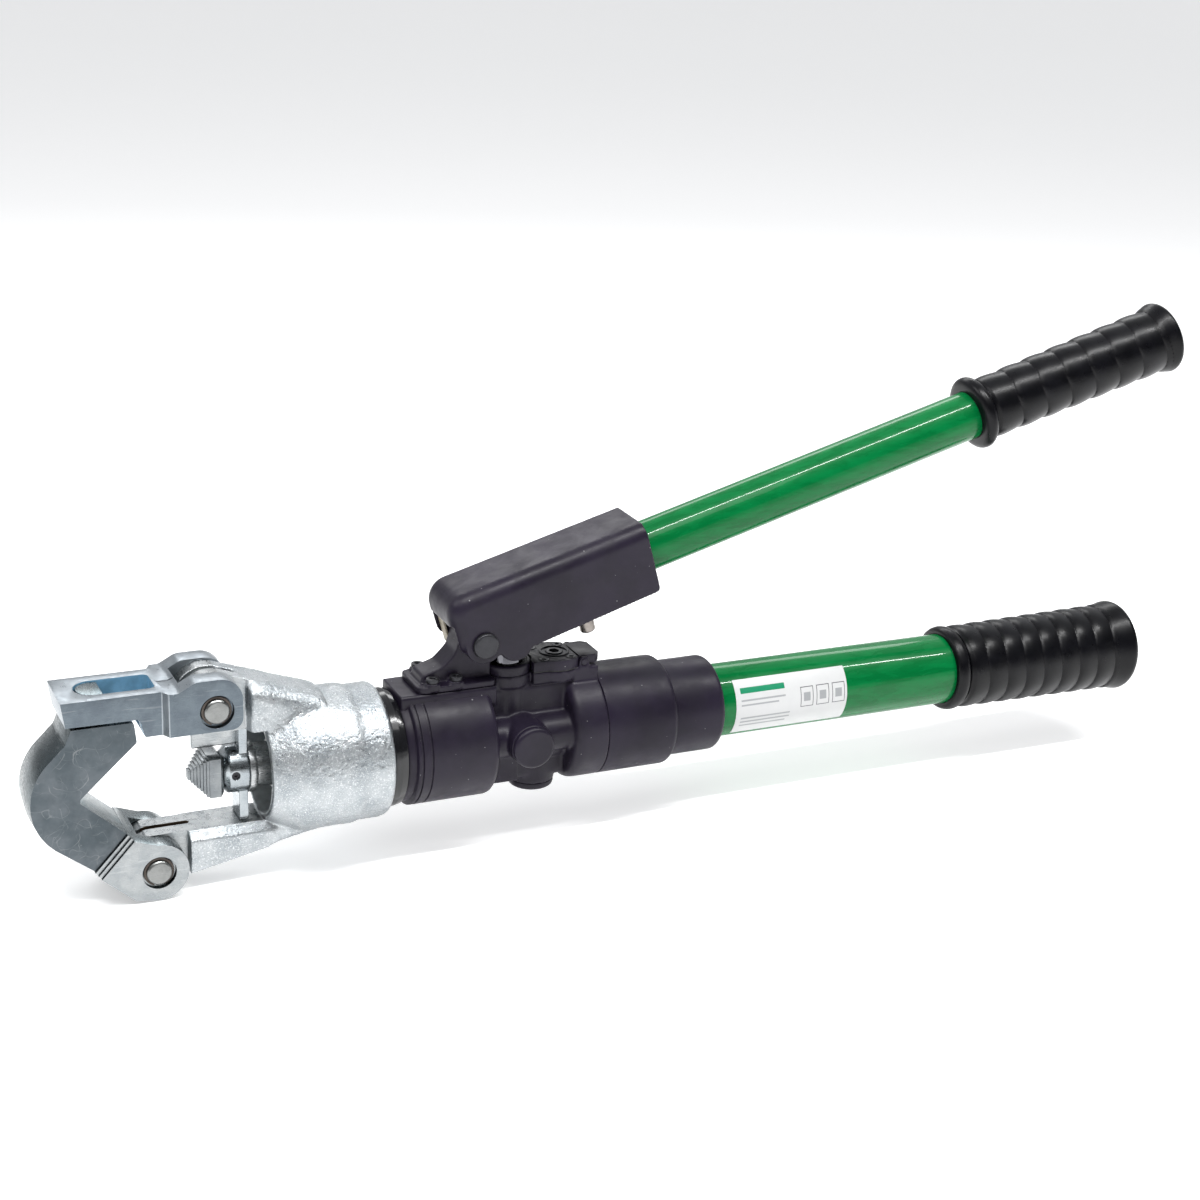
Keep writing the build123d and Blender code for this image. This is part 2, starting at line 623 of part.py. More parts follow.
def grip_profile(x0, x1, r_tube, r_flange, r_low, r_high, r_end, ribs):
    """Rubber grip: rolled lip, scalloped ribs that grow along it, flared closed end."""
    body_start = x0 + 9.5
    body_end = x1 - 12.0
    pitch = (body_end - body_start) / ribs
    corners = [(x0, r_tube), (x0, r_tube + 1.4), (x0 + 2.5, r_flange, 1.6), (x0 + 7, r_flange, 1.6),
               (body_start - 0.5, r_low - 1.0)]
    for i in range(ribs):
        swell = r_low + (r_high - r_low) * i / (ribs - 1)
        corners += [(body_start + pitch * (i + 0.22), swell - 0.6), (body_start + pitch * (i + 0.62), swell)]
        corners.append((body_start + pitch * (i + 1), swell - 1.3))
    corners += [(x1 - 7, r_end, 2), (x1, r_end, 3), (x1, 0), (x1 - 8, 0), (x1 - 8, r_tube)]
    return corners


def handle_label():
    """Blank label plate wrapped on the near side of the lower tube."""
    sheet = ring_x(TUBE_R, TUBE_R + 0.2, 333, 399)
    window = block(330, 400, -25, -9.0, -13.5, 15.0)
    return sheet & window


# ---------------------------------------------------------------- pump handle
def handle_housing():
    """Cast housing: open below and in front, with a socket for the pump tube."""
    tilt = radians(HANDLE_TILT)
    dx = DRIVE_PIN[0] - PIVOT[0]
    dz = DRIVE_PIN[1] - PIVOT[1]
    pin_u = dx * cos(tilt) + dz * sin(tilt)
    pin_v = dz * cos(tilt) - dx * sin(tilt)
    end_u = 94.0
    side_line = outline(
        (-13.0, 27.0, 11), (end_u, 27.0), (end_u, -9.0, 2), (24, -10.6), (6, -8.2), (-5, -8.2),
        (-13.0, -0.5, 8),
    )
    shell = slab(side_line, -HOUSING_HALF, HOUSING_HALF)
    top_edges = shell.edges().filter_by(Axis.X).group_by(Axis.Z)[-1]
    shell = fillet(top_edges, 7.5)
    shell += rod_y(9.6, -HOUSING_HALF, HOUSING_HALF, 0, 0)
    shell += rod_y(8.8, -HOUSING_HALF, HOUSING_HALF, pin_u - 1.5, pin_v + 3.2)
    cavity = slab(
        outline((-30, -40), (30, -40), (30, 21.5, 4), (-1, 21.5, 7), (-7.5, 13, 3), (-30, 13)),
        -HOUSING_INNER, HOUSING_INNER,
    )
    shell -= cavity + block(28, 90, -13, 13, -40, -7.5)
    shell -= rod_x(PUMP_TUBE_R, 42, end_u + 1, 0, HANDLE_OFFSET)
    shell -= rod_y(5.0, -HOUSING_HALF - 1, HOUSING_HALF + 1, 0, 0)
    shell -= rod_y(DRIVE_PIN_R, -17.2, 17.2, pin_u, pin_v)
    shell -= rod_z(3.0, -14, STRIKER_TOP, STRIKER_U)
    return on_handle(shell)


def pivot_pin():
    """Handle pivot with a low domed head on each side."""
    pin = rod_y(5.0, -20, 20, *PIVOT)
    heads = rod_y(6.4, -21.4, -HOUSING_HALF, *PIVOT) + rod_y(6.4, HOUSING_HALF, 21.4, *PIVOT)
    pin += heads
    pin = fillet(pin.edges().group_by(Axis.Y)[0], 1.2)
    return fillet(pin.edges().group_by(Axis.Y)[-1], 1.2)


def release_striker():
    """Steel pin under the housing that presses the release lever."""
    shank = rod_z(3.0, -10, STRIKER_TOP, STRIKER_U) + rod_z(3.9, -23.6, -7.5, STRIKER_U)
    shank = fillet(shank.edges().group_by(Axis.Z)[0], 1.0)
    return on_handle(shank)


def front_strip():
    """Thin spring strip just inside the housing's open front."""
    return on_handle(block(-9.9, -8.9, WEB_HALF + 0.6, HOUSING_INNER, -6, 13))


# ---------------------------------------------------------------- write every node
save("head_yoke", head_yoke())
save("latch_arm", latch_arm())
save("hook_jaw", hook_jaw())
save("latch_pin", head_pin(UPPER_PIN))
save("jaw_pin", head_pin(LOWER_PIN))
save("latch_pin_rings", *both_sides(lambda side: retaining_ring(UPPER_PIN, side)))
save("jaw_pin_rings", *both_sides(lambda side: retaining_ring(LOWER_PIN, side)))
save("yoke_lock_screw", rod_x(2.4, 135, 145, 0, LOCK_SCREW_Z) + rod_x(3.0, YOKE_REAR, 148.2, 0, LOCK_SCREW_Z))

save("indentor", indentor())
save("guide_collar", guide_collar())
save("collar_set_screw", collar_screw())
save("ram_lock_nut", lock_nut())
save("ram", ram())
save("piston_seal", ring_x(20.6, NOSE_R, 130.7, 133.7))
save("piston_wear_ring", ring_x(21.6, NOSE_R, 135.5, 137.7))
save("ram_return_spring", Pos(101.1, 0, 0) * Rot(0, 90, 0) * spring(6.0, 1.1, 66.9, 16))

save("pump_housing", pump_housing())
save("swivel_ring", turned((145, NOSE_R), (145, 28.4, 1), (148.5, 29.2, 1), (151.9, 28.6, 0.8), (151.9, NOSE_R)))
save("swivel_wire", o_ring(23.78, 0.65, 142))
save("spring_anchor", rod_y(1.6, -12, 12, 171.5, 0))
save("pivot_bracket", pivot_bracket())
save("bracket_bolts", *[cap_screw(3.1, 1.9, x, y, 34.8, 2.2, 12) for x, y in BRACKET_BOLTS])
save("top_cover", top_cover())
save("cover_gasket", cover_gasket())
save("cover_screws", *[cap_screw(2.5, 1.3, x, y, COVER_TOP - 1.6, 1.8, 9) for x, y in COVER_SCREWS])
save("filler_plug", filler_plug())
save("pump_barrel", pump_barrel())
save("barrel_collar", barrel_collar())
save("plunger_wiper", plunger_wiper())
save("side_valve_cap", side_valve_cap())
save("bottom_valve_cap", bottom_valve_cap())
save("check_valve_balls", *check_valve_balls())
save("release_poppet", rod_z(2.1, 16, FLANGE_TOP + 0.6, POPPET_X))

save("reservoir_cover", reservoir_cover())
save("handle_socket", handle_socket())
save("oil_bladder", oil_bladder())
save("bladder_clamp", bladder_clamp())
save("fixed_tube", fixed_tube())
save("fixed_tube_plug", rod_x(TUBE_R - TUBE_WALL, SLEEVE_END, SLEEVE_END + 12))
save("fixed_grip", turned(*grip_profile(GRIP_X[0], GRIP_X[1], TUBE_R, 23.0, 22.6, 23.8, 25.1, 8)))
save("handle_label", handle_label())

save("pump_plunger", pump_plunger())
save("release_lever", release_lever())

save("handle_housing", handle_housing())
save("pivot_pin", pivot_pin())
save("drive_pin", rod_y(DRIVE_PIN_R, -17.1, 17.1, *DRIVE_PIN))
save("release_striker", release_striker())
save("front_strip", front_strip())
save("pump_tube", on_handle(
    rod_x(PUMP_TUBE_R, 42, 410.8, 0, HANDLE_OFFSET) - rod_x(PUMP_TUBE_R - 2.5, 40, 412, 0, HANDLE_OFFSET)))
save("pump_grip", on_handle(Pos(0, 0, HANDLE_OFFSET) * turned(
    *grip_profile(PUMP_GRIP_U[0], PUMP_GRIP_U[1], PUMP_TUBE_R, 19.5, 16.4, 17.6, 19.4, 7))))
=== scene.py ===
import json
from math import cos, exp, hypot, pi, radians, sin

import bmesh
import bpy
from mathutils import Matrix, Vector, noise


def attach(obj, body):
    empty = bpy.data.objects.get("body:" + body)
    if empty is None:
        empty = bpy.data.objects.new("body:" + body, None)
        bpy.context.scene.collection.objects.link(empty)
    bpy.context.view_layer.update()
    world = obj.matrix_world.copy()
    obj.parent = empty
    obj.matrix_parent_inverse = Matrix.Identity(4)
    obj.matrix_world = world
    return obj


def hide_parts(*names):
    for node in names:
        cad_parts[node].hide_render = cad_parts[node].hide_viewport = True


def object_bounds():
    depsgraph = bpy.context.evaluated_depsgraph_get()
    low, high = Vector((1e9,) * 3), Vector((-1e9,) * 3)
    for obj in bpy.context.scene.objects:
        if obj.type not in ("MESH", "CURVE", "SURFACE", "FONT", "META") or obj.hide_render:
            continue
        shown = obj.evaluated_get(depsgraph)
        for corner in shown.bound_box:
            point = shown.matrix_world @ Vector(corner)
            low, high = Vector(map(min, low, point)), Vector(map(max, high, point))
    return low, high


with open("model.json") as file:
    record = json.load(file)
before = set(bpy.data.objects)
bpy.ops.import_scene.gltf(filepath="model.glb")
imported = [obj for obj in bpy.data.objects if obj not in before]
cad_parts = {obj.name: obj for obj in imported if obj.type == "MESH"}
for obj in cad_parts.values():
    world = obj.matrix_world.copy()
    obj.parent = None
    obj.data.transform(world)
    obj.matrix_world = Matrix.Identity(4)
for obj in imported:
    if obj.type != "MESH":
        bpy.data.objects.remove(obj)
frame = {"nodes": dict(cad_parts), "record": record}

cad_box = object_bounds()
MM = 0.001
NODES = frame["nodes"]
BODY_OF = {node: body for body, names in frame["record"]["behaviour"]["bodies"].items()
           for node in names}
SLOT_OF = {part["node"]: part["material_slot"] for part in frame["record"]["subparts"]}

# places and sizes repeated from the part, in millimetres
UPPER_PIN = (62.1, 37.7)    # x, z of the latch pin
LOWER_PIN = (33.6, -38.8)   # x, z of the jaw pin
PIVOT = (193.0, 54.0)       # x, z of the pump-handle pivot
HANDLE_TILT = 16.19         # degrees that the pump handle stands open at rest
HANDLE_OFFSET = 7.85        # pump-handle axis above its pivot
JAW_HALF = 14.0             # half thickness of the jaw's plate
LUG_HALF = 9.2              # half thickness of the yoke's lugs
UPPER_LUG_END = 78.0        # x where each lug's ground sides end
LOWER_LUG_END = 49.5
ARM_TOP = -24.5             # machined top of the lower arm
ARM_UNDER = 23.0            # machined underside of the upper arm
ARM_END = 88.0              # x where both machined arm faces end
WEB_UNDER = 13.0            # underside of the guide web
YOKE_FRONT = 86.0
YOKE_REAR = 144.5
YOKE_R = 34.1               # kept just inside the part's own radius
CYL_R = 23.5                # ram bore
FRONT_R = 29.85             # pump body's front cylinder
CHANNEL_START = YOKE_FRONT - 20     # the bore's cutter also grazes the upper arm's underside
CHANNEL_HALF = 4.85

# working distances of the mesh steps, in millimetres
WELD = 0.002            # vertices closer than this are one
SNAP = 0.5              # points this near a machined face are put on it
NEAR = 0.6              # faces this near a machined face count as part of it
BEVEL_ANGLE = 32        # degrees: edges sharper than this are rounded
BLEND_PASSES = 160      # smoothing passes that make the wide fillets


# ---------------------------------------------------------------- node-tree helpers
class Look:
    """One procedural material: a Principled shader and the nodes that vary it."""

    def __init__(self, name, color, metallic, roughness, **sockets):
        self.mat = bpy.data.materials.new(name)
        self.mat.use_nodes = True
        self.tree = self.mat.node_tree
        self.shader = self.tree.nodes["Principled BSDF"]
        self.set("Base Color", (*color, 1))
        self.set("Metallic", metallic)
        self.set("Roughness", roughness)
        for socket, value in sockets.items():
            self.set(socket.replace("_", " "), value)
        self.coords = self.add("ShaderNodeTexCoord").outputs["Object"]
        self.heights = []

    def set(self, socket, value):
        self.shader.inputs[socket].default_value = value

    def add(self, kind, **inputs):
        node = self.tree.nodes.new(kind)
        for socket, value in inputs.items():
            self.feed(value, node.inputs[socket.replace("_", " ")])
        return node

    def feed(self, value, socket):
        if isinstance(value, bpy.types.NodeSocket):
            self.tree.links.new(value, socket)
        else:
            socket.default_value = value

    def stretched(self, scale, turn=(0, 0, 0)):
        """Object coordinates, turned and then scaled per axis."""
        node = self.add("ShaderNodeMapping", Vector=self.coords, Rotation=turn, Scale=scale)
        return node.outputs["Vector"]

    def noise(self, size, detail=3.0, rough=0.55, vector=None, distortion=0.0):
        """Noise whose features are about size millimetres across, 0 to 1."""
        node = self.add("ShaderNodeTexNoise", Vector=vector or self.coords, Scale=1 / (size * MM),
                        Detail=detail, Roughness=rough, Distortion=distortion)
        return node.outputs["Fac"]

    def ramp(self, value, low, high, out_low=0.0, out_high=1.0):
        node = self.add("ShaderNodeMapRange", Value=value)
        for i, v in zip((1, 2, 3, 4), (low, high, out_low, out_high)):
            node.inputs[i].default_value = v
        node.interpolation_type = "SMOOTHSTEP"
        return node.outputs["Result"]

    def math(self, kind, a, b):
        node = self.tree.nodes.new("ShaderNodeMath")
        node.operation = kind
        self.feed(a, node.inputs[0])
        self.feed(b, node.inputs[1])
        return node.outputs[0]

    def mix(self, factor, a, b):
        """Colour mix; a and b are colours or colour sockets."""
        node = self.tree.nodes.new("ShaderNodeMix")
        node.data_type = "RGBA"
        self.feed(factor, node.inputs[0])
        for value, socket in ((a, node.inputs[6]), (b, node.inputs[7])):
            self.feed(value if isinstance(value, bpy.types.NodeSocket) else (*value, 1), socket)
        return node.outputs[2]

    def color(self, value):
        self.feed(value, self.shader.inputs["Base Color"])

    def rough(self, value):
        self.feed(value, self.shader.inputs["Roughness"])

    def bump(self, height, depth, strength=1.0):
        """Add relief: depth in millimetres at height 1. Later calls lie on earlier ones."""
        node = self.add("ShaderNodeBump", Height=height, Distance=depth * MM, Strength=strength)
        if self.heights:
            self.tree.links.new(self.heights[-1], node.inputs["Normal"])
        self.heights.append(node.outputs["Normal"])
        self.tree.links.new(node.outputs["Normal"], self.shader.inputs["Normal"])

    def edges(self, radius):
        """1 on worn convex and concave edges, 0 on flats."""
        bevel = self.add("ShaderNodeBevel", Radius=radius * MM)
        bevel.samples = 4
        flat = self.add("ShaderNodeNewGeometry").outputs["Normal"]
        dot = self.tree.nodes.new("ShaderNodeVectorMath")
        dot.operation = "DOT_PRODUCT"
        self.feed(bevel.outputs[0], dot.inputs[0])
        self.feed(flat, dot.inputs[1])
        return self.ramp(dot.outputs["Value"], 0.995, 0.9, 0.0, 1.0)


# ---------------------------------------------------------------- materials
def forged(name, base=(0.56, 0.58, 0.585), roughness=0.34):
    """Bead-blasted, zinc-plated forging: coarse sparkling skin."""
    look = Look(name, base, 1.0, roughness)
    coarse = look.noise(1.5, 4, 0.62)
    fine = look.noise(0.6, 3, 0.6)
    patch = look.noise(16, 4, 0.6)
    tint = look.mix(look.ramp(patch, 0.35, 0.65), (0.44, 0.465, 0.48), (0.32, 0.35, 0.37))
    look.color(look.mix(look.ramp(fine, 0.52, 0.7), tint, (0.74, 0.755, 0.76)))
    look.rough(look.ramp(coarse, 0.3, 0.7, roughness - 0.08, roughness + 0.12))
    look.bump(coarse, 0.55, 0.8)
    look.bump(fine, 0.2, 0.8)
    return look.mat


def machined(name, base, dark, roughness=0.3, grain=(1, 1, 14), tint=None, scratched=0.3):
    """Milled and plated face: fine parallel tool marks, soft clouding, a few scratches."""
    look = Look(name, base, 1.0, roughness)
    marks = look.noise(3.2, 4, 0.65, look.stretched(grain))
    cloud = look.noise(9, 4, 0.6)
    colour = look.mix(look.ramp(cloud, 0.38, 0.66), base, dark)
    if tint:
        colour = look.mix(look.ramp(look.noise(22, 2, 0.5), 0.5, 0.72, 0, 0.6), colour, tint)
    slanted = look.stretched((0.35, 1, 5), (0, 0.6, 0.3))
    scratch = look.ramp(look.noise(5, 2, 0.4, slanted), 0.66, 0.72)
    look.color(look.mix(look.math("MULTIPLY", scratch, scratched), colour, (0.66, 0.67, 0.67)))
    look.rough(look.ramp(marks, 0.3, 0.7, roughness - 0.06, roughness + 0.12))
    look.bump(marks, 0.016, 0.6)
    look.bump(look.noise(0.6, 3, 0.6), 0.006, 0.4)
    return look.mat


def ground(name):
    """Ground side of the jaw, covered in fine curved scratches; its base is painted darker than the
    jaw's steel, a painted reflection of dark surroundings.
    """
    look = Look(name, (0.36, 0.375, 0.385), 1.0, 0.34)
    swirl = None
    for size, seed, cut in ((13, 0.0, 0.022), (19, 3.7, 0.018), (27, 8.1, 0.014), (9, 5.2, 0.02)):
        shifted = look.add("ShaderNodeMapping", Vector=look.coords,
                           Location=(seed, 0, seed)).outputs[0]
        field = look.noise(size, 1.5, 0.4, shifted)
        near = look.math("ABSOLUTE", look.math("SUBTRACT", field, 0.5), 0)
        line = look.ramp(near, 0.0, cut * 0.22, 1.0, 0.0)
        swirl = line if swirl is None else look.math("MAXIMUM", swirl, line)
    fade = look.ramp(look.noise(6, 3, 0.6), 0.4, 0.65)
    swirl = look.math("MULTIPLY", swirl, fade)
    cloud = look.ramp(look.noise(18, 4, 0.6), 0.35, 0.65)
    # painted reflection: this dark base stands in for the dark surroundings the jaw's sides reflect; the
    # swirl lines are real grinding scratches
    base = look.mix(cloud, (0.075, 0.09, 0.10), (0.115, 0.13, 0.142))
    look.color(look.mix(look.math("MULTIPLY", swirl, 0.3), base, (0.38, 0.39, 0.39)))
    look.rough(look.ramp(look.noise(4, 4, 0.6), 0.3, 0.7, 0.28, 0.42))
    look.bump(look.noise(2.4, 4, 0.6, look.stretched((1, 1, 9), (0, 0.8, 0))), 0.03, 0.5)
    look.bump(swirl, -0.02, 0.6)
    return look.mat


def black_paint(name, base=(0.0095, 0.0070, 0.0145), roughness=0.40, wear=0.35, peel=0.05,
                gloss=0.26):
    """Satin black coating over a casting: fine skin, dust specks, edges a little polished."""
    look = Look(name, base, 0.0, roughness, Specular_IOR_Level=gloss)
    cloud = look.noise(30, 4, 0.6)
    colour = look.mix(look.ramp(cloud, 0.35, 0.65), base, tuple(c * 1.5 for c in base))
    rubbed = look.ramp(look.noise(3, 4, 0.7), 0.42, 0.62, 0, wear)
    edge = look.math("MULTIPLY", look.edges(0.7), rubbed)
    colour = look.mix(edge, colour, (0.05, 0.048, 0.052))
    speck = look.ramp(look.noise(1.5, 1, 0.3), 0.80, 0.84)
    look.color(look.mix(look.math("MULTIPLY", speck, 0.5), colour, (0.35, 0.35, 0.36)))
    smear = look.noise(14, 5, 0.65, distortion=0.4)
    look.rough(look.ramp(smear, 0.3, 0.7, roughness - 0.07, roughness + 0.09))
    look.bump(look.noise(0.9, 3, 0.6), peel, 0.5)
    look.bump(look.noise(9, 2, 0.5), 0.12, 0.35)
    return look.mat


def rubber(name):
    """Moulded grip rubber: satin, slightly mottled."""
    look = Look(name, (0.004, 0.004, 0.0055), 0.0, 0.34, Specular_IOR_Level=0.22)
    cloud = look.noise(12, 4, 0.6)
    look.color(look.mix(look.ramp(cloud, 0.35, 0.7), (0.0012, 0.0012, 0.002),
                        (0.003, 0.003, 0.0045)))
    look.rough(look.ramp(look.noise(5, 5, 0.7), 0.3, 0.7, 0.27, 0.34))
    look.bump(look.noise(0.8, 3, 0.6), 0.012, 0.4)
    look.bump(look.noise(7, 2, 0.5), 0.03, 0.4)
    return look.mat


def green(name, tilt=0.0):
    """Glossy green fibreglass tube: clear coat over a faint lengthwise mottle."""
    look = Look(name, (0.0, 0.20, 0.06), 0.0, 0.3, Coat_Weight=0.48, Coat_Roughness=0.04,
                Coat_IOR=1.42,
                Specular_IOR_Level=0.08)
    along = look.stretched((0.22, 1, 1), (0, tilt, 0))
    mottle = look.noise(5, 5, 0.6, along, 0.5)
    fleck = look.noise(1.6, 3, 0.6, along)
    base = look.mix(look.ramp(mottle, 0.35, 0.68), (0.0, 0.115, 0.026), (0.0, 0.15, 0.036))
    look.color(look.mix(look.ramp(fleck, 0.6, 0.78, 0, 0.35), base, (0.003, 0.22, 0.055)))
    look.rough(look.ramp(mottle, 0.3, 0.7, 0.22, 0.36))
    look.bump(look.noise(4, 3, 0.5, along), 0.05, 0.5)
    return look.mat


def label_sheet(name):
    """White printed sheet with plain blocks and bars in place of any print."""
    look = Look(name, (0.78, 0.79, 0.78), 0.0, 0.4)
    split = look.add("ShaderNodeSeparateXYZ", Vector=look.coords)
    x, z = split.outputs["X"], split.outputs["Z"]

    def band(value, low, high):
        above = look.math("GREATER_THAN", value, low * MM)
        return look.math("MULTIPLY", above, look.math("LESS_THAN", value, high * MM))

    def area(x0, x1, z0, z1):
        return look.math("MULTIPLY", band(x, x0, x1), band(z, z0, z1))

    left, half_line = 336, 0.45
    colour = look.mix(look.noise(9, 3, 0.6), (0.56, 0.565, 0.57), (0.62, 0.62, 0.62))
    colour = look.mix(area(left, left + 26, 9.0, 11.6), colour, (0.0, 0.22, 0.10))
    for row, length in ((5.6, 26), (3.2, 22), (-4.0, 29), (-6.2, 29), (-8.4, 27)):
        line = area(left, left + length, row - half_line, row + half_line)
        colour = look.mix(line, colour, (0.33, 0.34, 0.35))
    for start in (371, 380.5, 390):
        outer = area(start, start + 7.6, -2.0, 8.5)
        inner = area(start + 0.4, start + 7.2, -1.6, 8.1)
        colour = look.mix(look.math("SUBTRACT", outer, inner), colour, (0.10, 0.10, 0.11))
        colour = look.mix(area(start + 1.8, start + 5.8, 1.0, 5.6), colour, (0.30, 0.31, 0.32))
    look.color(colour)
    look.rough(look.ramp(look.noise(3, 3, 0.6), 0.3, 0.7, 0.34, 0.5))
    look.bump(look.noise(2.5, 3, 0.6), 0.02, 0.4)
    return look.mat


def plain(name, base, metallic, roughness, size=2.0, depth=0.03):
    """Small hardware: a base finish with clouding and a fine skin."""
    look = Look(name, base, metallic, roughness)
    cloud = look.noise(size * 3, 4, 0.6)
    look.color(look.mix(look.ramp(cloud, 0.3, 0.7), tuple(c * 0.75 for c in base), base))
    look.rough(look.ramp(look.noise(size, 4, 0.6), 0.3, 0.7, roughness * 0.8, roughness * 1.25))
    look.bump(look.noise(size * 0.3, 3, 0.6), depth, 0.5)
    return look.mat


FINISH = {
    "forged_steel": forged("forged_steel"),
    "jaw_steel": machined("jaw_steel", (0.22, 0.25, 0.26), (0.16, 0.19, 0.20), 0.24, (14, 1, 1),
                          (0.13, 0.21, 0.24), 0.1),
    "hard_steel": machined("hard_steel", (0.50, 0.51, 0.515), (0.38, 0.395, 0.40), 0.28),
    "black_oxide": plain("black_oxide", (0.035, 0.035, 0.04), 0.6, 0.38),
    "spring_steel": plain("spring_steel", (0.45, 0.45, 0.46), 1.0, 0.35),
    "strip_beige": plain("strip_beige", (0.46, 0.41, 0.31), 0.0, 0.6),
    "black_casting": black_paint("black_casting"),
    "black_sleeve": black_paint("black_sleeve", roughness=0.42, wear=0.2, peel=0.03, gloss=0.2),
    "gloss_black": black_paint("gloss_black", (0.004, 0.004, 0.005), 0.13, 0.2, 0.01, 0.6),
    # painted shade: the chrome plunger's base is kept dark to stand in for the shade of the gap it sits
    # in
    "chrome_plunger": plain("chrome_plunger", (0.15, 0.15, 0.165), 1.0, 0.12, 4, 0.005),
    "seal_rubber": plain("seal_rubber", (0.02, 0.02, 0.02), 0.0, 0.6),
    "wear_ring": plain("wear_ring", (0.05, 0.12, 0.18), 0.0, 0.5),
    "green_tube": green("green_tube"),
    "tube_plug": plain("tube_plug", (0.03, 0.03, 0.03), 0.0, 0.6),
    "grip_rubber": rubber("grip_rubber"),
    "label": label_sheet("label"),
}
MACHINED = machined("machined_face", (0.36, 0.375, 0.38), (0.29, 0.31, 0.32), 0.28, scratched=0.15)
LATCH_FACE = machined("latch_face", (0.32, 0.35, 0.375), (0.275, 0.305, 0.33), 0.33, scratched=0.1)
# painted reflection: the latch's side faces get a darker copy of its steel, standing in for the dark
# surroundings they reflect
LATCH_SIDE_PAINTED_REFLECTION = machined("latch_side_painted_reflection", (0.13, 0.155, 0.175), (0.105, 0.125, 0.145), 0.3, scratched=0.08)
# painted shade: the window's inner walls are coloured the bluish tint their shade shows
WINDOW_PAINTED_SHADE_BLUE = plain("window_painted_shade_blue", (0.20, 0.42, 0.60), 0.25, 0.4)
BORE_STEEL = plain("bore_steel", (0.50, 0.54, 0.55), 0.55, 0.4)
DIE_STEEL = machined("die_steel", (0.24, 0.255, 0.262), (0.19, 0.205, 0.215), 0.3, scratched=0.1)
COLLAR_STEEL = machined("collar_steel", (0.38, 0.41, 0.425), (0.31, 0.34, 0.36), 0.2, scratched=0.05)
STRIKER_STEEL = plain("striker_steel", (0.30, 0.27, 0.25), 0.9, 0.35)
# painted shade: very dark brown for the inside of the narrow guide slot
SLOT_PAINTED_SHADE = plain("slot_painted_shade", (0.075, 0.05, 0.032), 0.6, 0.5)
# the clip rings' dark steel, coloured the dark brown of the shaded counterbore: partly painted shade
RING_STEEL_AND_PAINTED_SHADE = plain("ring_steel", (0.10, 0.085, 0.075), 0.9, 0.4)
PIN_STEEL = machined("pin_steel", (0.26, 0.265, 0.26), (0.20, 0.205, 0.20), 0.3, scratched=0.1)
# painted shade: a darker copy of the jaw's steel for its outer rim
JAW_RIM_PAINTED_SHADE = machined("jaw_rim_painted_shade", (0.085, 0.105, 0.113), (0.062, 0.078, 0.085), 0.26, (14, 1, 1),
                   (0.08, 0.125, 0.145), 0.08)
GROUND_AND_PAINTED_REFLECTION = ground("jaw_side_ground_and_painted_reflection")
GREEN_TILTED = green("green_tube_tilted", radians(HANDLE_TILT))


# ---------------------------------------------------------------- mesh helpers
def spawn(name, mesh, *materials):
    """New object for a mesh, in the scene, with these materials."""
    obj = bpy.data.objects.new(name, mesh)
    bpy.context.scene.collection.objects.link(obj)
    mesh.materials.clear()
    for material in materials:
        mesh.materials.append(material)
    return obj


def settle(obj):
    """Apply the object's modifiers to its mesh."""
    graph = bpy.context.evaluated_depsgraph_get()
    mesh = bpy.data.meshes.new_from_object(obj.evaluated_get(graph))
    obj.modifiers.clear()
    old, obj.data = obj.data, mesh
    bpy.data.meshes.remove(old)
    mesh.name = obj.name
    return obj


def clamp(value):
    return min(max(value, 0.0), 1.0)


def smooth(obj, angle):
    """Smooth shading, with edges sharper than this angle kept sharp."""
    obj.data.shade_smooth()
    obj.data.set_sharp_from_angle(angle=radians(angle))
    return obj


def stand_for(obj, *nodes):
    """obj replaces these CAD nodes and moves with their body."""
    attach(obj, BODY_OF[nodes[0]])
    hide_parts(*nodes)
    return obj


def refinish(obj, material):
    """Another material in place of the first one."""
    obj.data.materials[0] = material
    return obj


def cad_copy(node):
    """A copy of a CAD node's mesh, cleaned up, as a new object."""
    mesh = NODES[node].data.copy()
    shape = bmesh.new()
    shape.from_mesh(mesh)
    bmesh.ops.remove_doubles(shape, verts=shape.verts, dist=WELD * MM)
    bmesh.ops.dissolve_limit(shape, angle_limit=radians(0.4), verts=shape.verts, edges=shape.edges)
    shape.to_mesh(mesh)
    shape.free()
    if "custom_normal" in mesh.attributes:
        mesh.attributes.remove(mesh.attributes["custom_normal"])
    return spawn(node + "_look", mesh, FINISH[SLOT_OF[node]])


def rounded(node, width, segments=2):
    """CAD node with its sharp edges rounded by width millimetres."""
    obj = cad_copy(node)
    bevel = obj.modifiers.new("edge", "BEVEL")
    bevel.width = width * MM
    bevel.segments = segments
    bevel.limit_method = "ANGLE"
    bevel.angle_limit = radians(BEVEL_ANGLE)
    settle(obj)
    return stand_for(smooth(obj, 45), node)


def soften(obj, weight, passes):
    """Smooth an object's mesh, each vertex by its weight from 0 to 1."""
    group = obj.vertex_groups.new(name="soft")
    for v in obj.data.vertices:
        group.add([v.index], weight(v.co / MM), "REPLACE")
    relax = obj.modifiers.new("relax", "SMOOTH")
    relax.factor = 0.5
    relax.iterations = passes
    relax.vertex_group = "soft"
    settle(obj)
    obj.vertex_groups.clear()


